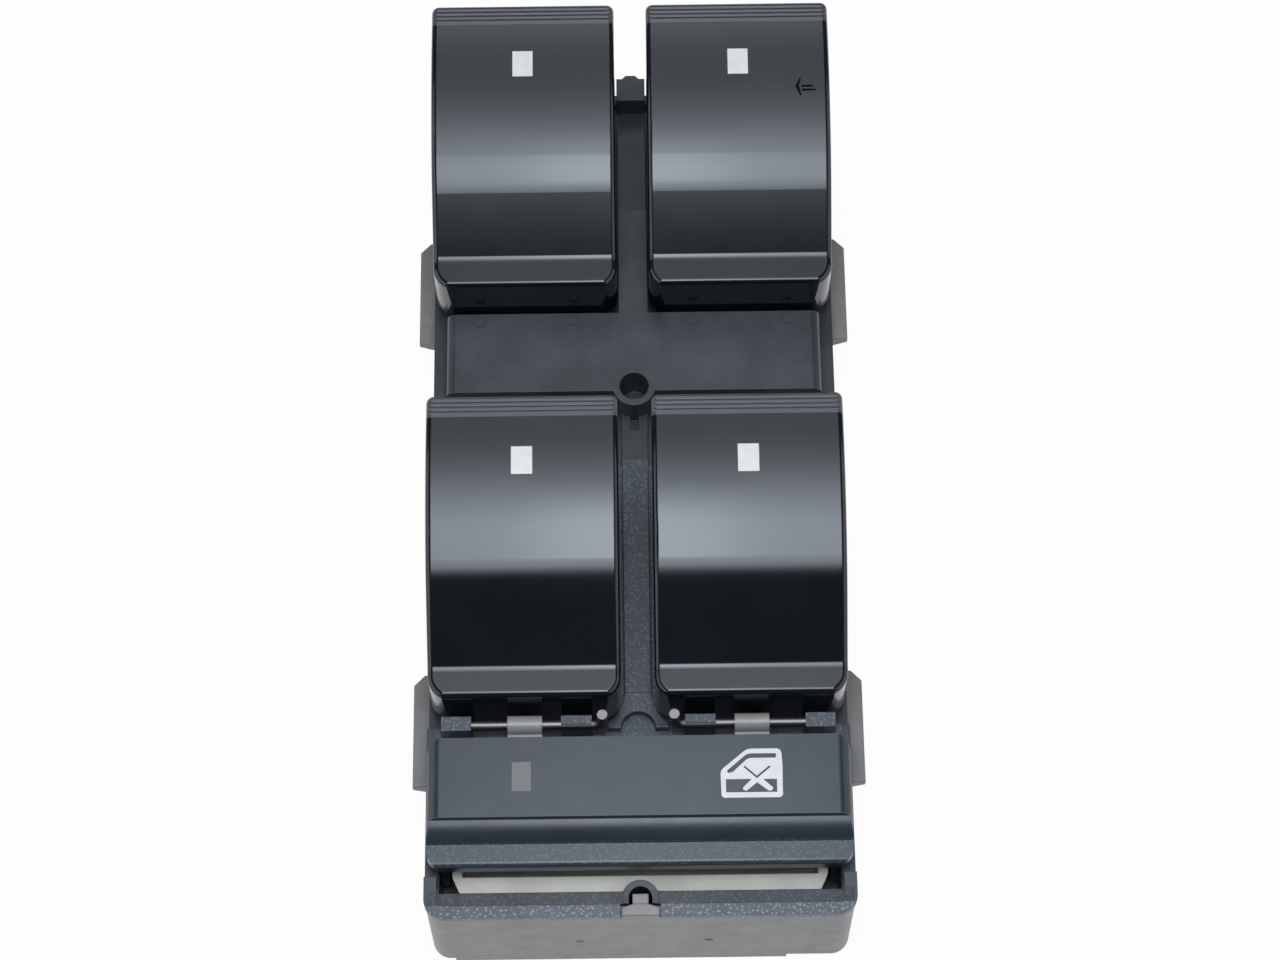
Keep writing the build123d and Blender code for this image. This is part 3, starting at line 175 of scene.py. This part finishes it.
def plastic(name, dark, light, rough, grain=9000.0, bump=0.12, mottle=260.0, edge=0.25,
            haze=0.05, edge_wear_and_highlight=None, zones=(), specular=0.5, tint=WHITE):
    """Moulded plastic: mottled colour, fine grain, softened edges, edge wear and painted edge
    highlight.

    Edge wear and highlight is (colour, amount) on sharp edges, real wear and painted
    highlight in one. Each zone is (start, end, half width, colour, amount, speckle): its
    reach along Y and to both sides of the middle, in millimetres, for a surface that is
    textured apart from the rest; the grip zones are painted highlight and the ledge zone
    is painted shade.
    """
    nodes = Nodes(name)
    colour = nodes.mix(nodes.mottle(mottle, 0.0, 1.0, detail=4.0), dark, light)
    fine = nodes.noise(grain, detail=2.0, roughness=0.6)
    colour = nodes.mix(nodes.ramp(fine, GRAIN_LOW, GRAIN_HIGH, 0.0, GRAIN_AMOUNT), colour, light)
    if zones:
        colour = with_zones(nodes, colour, zones)
    roughness = nodes.mottle(mottle * HAZE_SCALE, rough - haze, rough + haze)
    soft = nodes.add("Bevel", {"Radius": edge * MM}, samples=EDGE_SAMPLES).outputs["Normal"]
    # Lighter colour on sharp edges: real edge wear and painted edge highlight together.
    if edge_wear_and_highlight:
        edge_wear_and_highlight_colour, edge_wear_and_highlight_amount = edge_wear_and_highlight
        flat = nodes.add("NewGeometry").outputs["Normal"]
        turned = nodes.add("VectorMath", {0: soft, 1: flat}, operation="DOT_PRODUCT")
        worn_and_highlit = nodes.ramp(turned.outputs["Value"], WEAR_AND_HIGHLIGHT_START, WEAR_AND_HIGHLIGHT_FULL, 0.0, edge_wear_and_highlight_amount)
        colour = nodes.mix(worn_and_highlit, colour, edge_wear_and_highlight_colour)
    relief = nodes.add("Bump", {"Strength": bump, "Distance": GRAIN_DEPTH, "Height": fine,
                                "Normal": soft})
    shader = nodes.add("BsdfPrincipled", {"Base Color": colour, "Roughness": roughness,
                                          "Normal": relief.outputs["Normal"],
                                          "Specular IOR Level": specular,
                                          "Specular Tint": tint})
    return nodes.finish(shader.outputs["BSDF"])


def clear_plastic(name, tint, rough, clearness):
    """Clear moulded plastic."""
    nodes = Nodes(name)
    haze = nodes.mottle(CLEAR_HAZE_SCALE, rough, rough + CLEAR_HAZE)
    colour = nodes.mix(nodes.mottle(CLEAR_TINT_SCALE, 0.0, CLEAR_TINT_LOSS), tint, WHITE)
    shader = nodes.add("BsdfPrincipled", {"Base Color": colour, "Roughness": haze,
                                          "Transmission Weight": clearness})
    return nodes.finish(shader.outputs["BSDF"])


def metal(name, tone, rough):
    """Drawn or plated metal with fine lines along it."""
    nodes = Nodes(name)
    lines = nodes.noise(LINE_SCALE, detail=3.0, roughness=0.5, stretch=LINE_STRETCH)
    bright = tuple(min(1.0, LINE_GAIN * part) for part in tone)
    colour = nodes.mix(nodes.ramp(lines, NOISE_LOW, NOISE_HIGH, 0.0, LINE_AMOUNT), tone, bright)
    roughness = nodes.ramp(lines, NOISE_LOW, NOISE_HIGH, rough, rough + LINE_ROUGHNESS)
    shader = nodes.add("BsdfPrincipled", {"Base Color": colour, "Roughness": roughness,
                                          "Metallic": 1.0})
    return nodes.finish(shader.outputs["BSDF"])


def dress(node, material):
    """Give a carried-over node one material."""
    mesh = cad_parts[node].data
    mesh.materials.clear()
    mesh.materials.append(material)


# Lighter grey over the grip ridges by each lip: painted highlight in place of the ridges' bright
# lines, more of it on the rear pair.
GRIP_HIGHLIGHT_GREY = rgb(84, 88, 94)
GRIP_HIGHLIGHT_ZONES = tuple((lip - GRIPS_TO_LIP, lip - GRIPS_FROM_LIP, FULL_WIDTH, GRIP_HIGHLIGHT_GREY, amount, 0.0)
                   for lip, amount in ((FRONT_LIP_Y, 0.6), (REAR_LIP_Y, 0.8)))
BUTTON = plastic("button_plastic", rgb(13, 15, 19), rgb(18, 20, 25), 0.12, mottle=120.0,
                 bump=0.05, edge=0.1, haze=0.008, edge_wear_and_highlight=(rgb(96, 102, 108), 0.7),
                 zones=GRIP_HIGHLIGHT_ZONES, tint=(0.8, 0.9, 1.0, 1.0))
COOL_TINT = (0.85, 0.93, 1.0, 1.0)
BLUE_GREY = rgb(76, 86, 100)
HOUSING_TEXTURE_AND_SHADE_ZONES = (
    (RIM_NEAR_Y, RIM_FAR_Y, FULL_WIDTH, rgb(78, 87, 100), 0.7, 0.55),
    # The ledge zone is painted shade: dark colour where the lower step in front of the pocket
    # lies in shadow.
    (RIM_FAR_Y, LEDGE_FAR_Y, LEDGE_HALF_WIDTH, rgb(28, 32, 40), 0.85, 0.12),
    (EARS_FAR_Y, RIB_FAR_Y, RIB_HALF_WIDTH, BLUE_GREY, 0.5, 0.3),
    (EARS_NEAR_Y, EARS_FAR_Y, EARS_HALF_WIDTH, BLUE_GREY, 0.5, 0.3),
)
HOUSING = plastic("housing_plastic", rgb(42, 47, 53), rgb(58, 64, 71), 0.36, mottle=170.0,
                  bump=0.3, edge=0.15, edge_wear_and_highlight=(rgb(96, 100, 104), 0.35), zones=HOUSING_TEXTURE_AND_SHADE_ZONES,
                  specular=0.4, tint=COOL_TINT)
KEY_ZONES = (
    (EARS_NEAR_Y, EYES_FAR_Y, FULL_WIDTH, rgb(146, 147, 147), 0.85, 0.2),
    (KEY_LIP_NEAR_Y, KEY_LIP_FAR_Y, FULL_WIDTH, rgb(50, 57, 66), 0.5, 0.14),
)
KEY = plastic("key_plastic", rgb(33, 41, 49), rgb(40, 49, 57), 0.3, mottle=150.0, bump=0.12,
              edge=0.12, haze=0.02, edge_wear_and_highlight=(rgb(128, 132, 134), 0.6), zones=KEY_ZONES,
              tint=COOL_TINT)
CASE = plastic("case_plastic", rgb(113, 114, 116), rgb(130, 131, 133), 0.45, mottle=190.0,
               bump=0.2, edge=0.4)
CARRIER = plastic("carrier_plastic", rgb(176, 178, 176), rgb(196, 198, 196), 0.45,
                  mottle=150.0, edge=0.2)
LEGEND = plastic("legend_plastic", rgb(197, 202, 205), rgb(209, 214, 217), 0.35,
                 mottle=900.0, bump=0.05, edge=0.05)
PUSHER = plastic("pusher_plastic", rgb(206, 206, 200), rgb(220, 220, 215), 0.4)
SILICONE = plastic("silicone", rgb(150, 154, 152), rgb(170, 174, 172), 0.55)
BOARD = plastic("solder_resist", rgb(16, 74, 42), rgb(24, 92, 54), 0.35, mottle=600.0)
BLACK = plastic("black_moulding", rgb(26, 26, 27), rgb(36, 36, 37), 0.5)
LAMP = plastic("lamp_body", rgb(226, 224, 205), rgb(238, 236, 222), 0.3)
LENS = plastic("smoked_lens", rgb(88, 95, 102), rgb(94, 101, 108), 0.3, mottle=30.0, bump=0.0,
               haze=0.01, edge=0.05)
GUIDE = clear_plastic("clear_guide", (0.92, 0.95, 0.96, 1.0), 0.05, 0.85)
STEEL = metal("drawn_steel", (0.17, 0.17, 0.18, 1.0), 0.38)
PIN = metal("plated_pin", (0.72, 0.62, 0.40, 1.0), 0.2)

FINISHES = {
    "base_case": CASE, "top_housing": HOUSING, "guide_carrier": CARRIER,
    "circuit_board": BOARD, "dome_mat": SILICONE, "plug_header": BLACK, "header_pins": PIN,
    "board_leds": LAMP, "board_chips": BLACK, "light_guides": GUIDE, "hinge_wires": STEEL,
    "lock_key": KEY, "lock_lamp_lens": LENS,
}
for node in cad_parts:
    if node in FINISHES:
        dress(node, FINISHES[node])
    elif node.endswith("_button"):
        dress(node, BUTTON)
    elif node.endswith("_legend"):
        dress(node, LEGEND)
    else:
        dress(node, PUSHER)


MARK_HALF_THICKNESS = 0.02


def printed(name, outlines, material, body, place, tilt=0.0):
    """A thin mark from closed outlines in millimetres, tilted about X.

    An outline inside another is a hole.
    """
    curve = bpy.data.curves.new(name, "CURVE")
    curve.dimensions = "2D"
    curve.fill_mode = "BOTH"
    curve.extrude = MARK_HALF_THICKNESS * MM
    for outline in outlines:
        spline = curve.splines.new("POLY")
        spline.points.add(len(outline) - 1)
        for point, (x, y) in zip(spline.points, outline):
            point.co = (x * MM, y * MM, 0.0, 1.0)
        spline.use_cyclic_u = True
    shaper = bpy.data.objects.new(name + "_outline", curve)
    scene.collection.objects.link(shaper)
    bpy.context.view_layer.update()
    shaped = shaper.evaluated_get(bpy.context.evaluated_depsgraph_get())
    mesh = bpy.data.meshes.new_from_object(shaped)
    bpy.data.objects.remove(shaper)
    mesh.materials.clear()
    mesh.materials.append(material)
    mark = bpy.data.objects.new(name, mesh)
    mark.location = Vector(place) * MM
    mark.rotation_euler = (tilt, 0.0, 0.0)
    scene.collection.objects.link(mark)
    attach(mark, body)


def oval(wide, high, steps=16):
    """Points round an oval, in millimetres."""
    turns = [2 * math.pi * step / steps for step in range(steps)]
    return [(wide / 2 * math.cos(turn), high / 2 * math.sin(turn)) for turn in turns]


INK_WHITE = plastic("white_ink", rgb(200, 206, 213), rgb(212, 217, 223), 0.45, mottle=800.0,
                    edge=0.02, bump=0.05)
INK_BLACK = plastic("black_ink", rgb(8, 9, 11), rgb(15, 17, 20), 0.8, mottle=800.0, edge=0.02,
                    bump=0.05, specular=0.05)
MOULD_MARK = plastic("mould_mark", rgb(66, 67, 70), rgb(84, 85, 88), 0.6, mottle=1500.0,
                     edge=0.02)

# Window lock symbol: a door outline, its raised glass and a cross
SYMBOL_PLACE = (14.0, -44.2, KEY_Z)
DOOR = [(-3.75, -3.0), (-3.45, -3.3), (3.6, -3.3), (3.9, -3.0), (3.95, 1.0), (3.85, 2.55),
        (3.7, 2.9), (3.35, 3.1), (0.0, 3.1), (-0.4, 3.03), (-0.75, 2.85), (-3.45, 0.6),
        (-3.7, 0.3), (-3.82, -0.1)]
DOOR_SLIT = [(-3.0, 0.15), (-2.95, 0.3), (-0.55, 2.35), (-0.1, 2.47), (3.1, 2.47),
             (3.2, 2.15), (3.1, 1.88), (-0.05, 1.88), (-0.5, 1.72), (-2.3, 0.05),
             (-2.9, -0.08)]
DOOR_PANEL = [(-3.17, -0.88), (0.05, -0.88), (-1.05, -2.0), (-1.0, -2.32), (-0.6, -2.4),
              (0.73, -1.32), (2.12, -2.42), (2.58, -2.38), (2.7, -2.02), (1.48, -0.9),
              (3.2, -0.9), (3.2, -2.6), (-3.17, -2.6)]
GLASS_CROSS = [(-0.95, 0.7), (-0.8, 0.88), (0.72, -0.45), (2.3, 0.86), (2.46, 0.68),
               (0.72, -0.8)]
printed("lock_symbol", (DOOR, DOOR_SLIT, DOOR_PANEL, GLASS_CROSS), INK_WHITE,
        "lock_key_body", SYMBOL_PLACE)

# Dark arrow-like mark on the front right button
ARROW_X = 23.2
ARROW_FROM_APEX = 7.4
ARROW_HEAD = [(-1.25, 0.45), (-0.6, 1.55), (-0.42, 1.6), (-0.72, 0.5), (-0.4, -0.95),
              (-0.6, -0.9)]
ARROW_SHAFTS = ([(-0.4, 0.56), (1.15, 0.54), (1.15, 0.3), (-0.4, 0.25)],
                [(-0.35, 0.02), (1.5, -0.02), (1.5, -0.24), (-0.35, -0.32)])
arrow_y = FRONT_LIP_Y - CROWN_APEX - ARROW_FROM_APEX
arrow_fall = CROWN_RADIUS - math.sqrt(CROWN_RADIUS ** 2 - ARROW_FROM_APEX ** 2)
printed("button_mark", (ARROW_HEAD,) + ARROW_SHAFTS, INK_BLACK, "front_right_rocker",
        (ARROW_X, arrow_y, CROWN_TOP_Z - arrow_fall),
        math.asin(ARROW_FROM_APEX / CROWN_RADIUS))

# Two small mould marks low on the case's near wall
WALL_MARK_SIZE = (1.1, 0.9)
WALL_MARKS = (("left", -7.8, 10.2), ("right", 8.65, 10.3))
near_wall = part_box("base_case")[0][1] / MM
for side, x, z in WALL_MARKS:
    printed("wall_mark_" + side, (oval(*WALL_MARK_SIZE),), MOULD_MARK, "switch_body",
            (x, near_wall, z), math.pi / 2)

# Lamps, in metres and watts: soft ones at both sides, and a ceiling of rows whose
# radiance, mirrored in the crowns, changes with the place along Y
AIM = Vector((0.0, 0.0, 0.02))
SIDE_TILT = math.radians(20.0)
SIDE_ANGLE = math.radians(62.0)
SIDE_DISTANCE = 0.9
SIDE_SIZE = (1.0, 0.8)
LEFT_POWER = 4.4
RIGHT_POWER = 3.6
CEILING_Z = 0.30
CEILING_GAP = 0.002
CEILING_WIDTH = 0.12
CORE_WIDTH = 0.04
CEILING_ROW = 0.012
MOST_ROWS = 4
CEILING_LEVELS = (
    (-0.165, 0.2), (-0.155, 0.9), (-0.147, 2.2), (-0.139, 4.2), (-0.130, 6.0),
    (-0.115, 7.0), (-0.080, 7.3), (-0.045, 7.3), (-0.020, 6.1), (0.000, 5.1),
    (0.020, 4.2), (0.040, 3.2), (0.060, 2.5), (0.085, 1.9), (0.120, 1.45),
    (0.180, 1.35), (0.250, 2.0), (0.420, 3.1),
)
CORE_LEVELS = ((-0.120, 3.0), (-0.075, 3.1), (-0.030, 2.8), (0.018, 0.0))


def area_lamp(name, place, width, length, power):
    """A rectangular lamp that faces down and isn't seen itself."""
    data = bpy.data.lights.new(name, "AREA")
    data.shape = "RECTANGLE"
    data.size = width
    data.size_y = length
    data.energy = power
    lamp = bpy.data.objects.new(name, data)
    lamp.location = place
    lamp.visible_camera = False
    scene.collection.objects.link(lamp)
    return lamp


def ceiling(levels, width, height):
    """Rows of lamps whose radiance follows (place along Y, radiance) levels."""
    for (near, first), (far, last) in zip(levels, levels[1:]):
        rows = max(1, min(MOST_ROWS, round((far - near) / CEILING_ROW)))
        step = (far - near) / rows
        for row in range(rows):
            radiance = first + (last - first) * (row + 0.5) / rows
            place = (0.0, near + (row + 0.5) * step, height)
            area_lamp("ceiling_lamp", place, width, step, radiance * math.pi * width * step)


def side_lamp(name, angle, power):
    """A lamp beside the part, a little to the camera's side, aimed at the part."""
    place = Vector((math.sin(angle), -math.sin(SIDE_TILT) * math.cos(angle),
                    math.cos(SIDE_TILT) * math.cos(angle))) * SIDE_DISTANCE
    lamp = area_lamp(name, place, *SIDE_SIZE, power)
    lamp.rotation_euler = (AIM - place).to_track_quat("-Z", "Y").to_euler()


ceiling(CEILING_LEVELS, CEILING_WIDTH, CEILING_Z + CEILING_GAP)
ceiling(CORE_LEVELS, CORE_WIDTH, CEILING_Z)
side_lamp("left_lamp", -SIDE_ANGLE, LEFT_POWER)
side_lamp("right_lamp", SIDE_ANGLE, RIGHT_POWER)

SKY_COLOUR = (0.92, 0.95, 1.0, 1.0)
SKY_STRENGTH = 0.1
world = bpy.data.worlds.new("studio")
scene.world = world
world.use_nodes = True
sky = world.node_tree.nodes["Background"]
sky.inputs["Color"].default_value = SKY_COLOUR
sky.inputs["Strength"].default_value = SKY_STRENGTH

# Floor: pale paper that keeps the shadow and shows nearly white
FLOOR_HALF_SIZE = 3.0
FLOOR_GLOW = 0.95
PAPER_SCALE = 40.0
PAPER_DARK = (0.91, 0.91, 0.91, 1.0)
PAPER_LIGHT = (0.94, 0.94, 0.94, 1.0)
floor_nodes = Nodes("floor_paper")
paths = floor_nodes.add("LightPath").outputs
seen = floor_nodes.math("MAXIMUM", paths["Is Camera Ray"], paths["Is Glossy Ray"])
seen = floor_nodes.math("MAXIMUM", seen, paths["Is Transmission Ray"])
paper = floor_nodes.mix(floor_nodes.noise(PAPER_SCALE), PAPER_DARK, PAPER_LIGHT)
diffuse = floor_nodes.add("BsdfDiffuse", {"Color": paper})
glow = floor_nodes.add("Emission", {"Color": WHITE, "Strength": 1.0})
blend = floor_nodes.add("MixShader", {0: floor_nodes.math("MULTIPLY", seen, FLOOR_GLOW),
                                      1: diffuse.outputs[0], 2: glow.outputs[0]})
floor_mesh = bpy.data.meshes.new("floor")
floor_corners = [(x * FLOOR_HALF_SIZE, y * FLOOR_HALF_SIZE, 0.0)
                 for x, y in ((-1, -1), (1, -1), (1, 1), (-1, 1))]
floor_mesh.from_pydata(floor_corners, [], [(0, 1, 2, 3)])
floor_mesh.materials.append(floor_nodes.finish(blend.outputs[0]))
floor = bpy.data.objects.new("floor", floor_mesh)
scene.collection.objects.link(floor)

camera_data = bpy.data.cameras.new("camera")
camera_data.sensor_width = SENSOR_WIDTH
camera_data.lens = FOCAL_PIXELS / PIXELS_WIDE * SENSOR_WIDTH
camera_data.shift_x = (PIXELS_WIDE / 2 - TARGET_PIXEL_X) / PIXELS_WIDE
camera_data.clip_start = CLIP_START
camera = bpy.data.objects.new("camera", camera_data)
scene.collection.objects.link(camera)
forward = Vector((0.0, math.sin(VIEW_TILT), -math.cos(VIEW_TILT)))
above = Vector((0.0, math.cos(VIEW_TILT), math.sin(VIEW_TILT)))
above.rotate(Matrix.Rotation(VIEW_ROLL, 3, forward))
right = forward.cross(above)
turn = Matrix((right, above, -forward)).transposed()
stand = (VIEW_TARGET - forward * VIEW_DISTANCE) * MM
camera.matrix_world = Matrix.Translation(stand) @ turn.to_4x4()
scene.camera = camera
scene.view_settings.view_transform = "Standard"
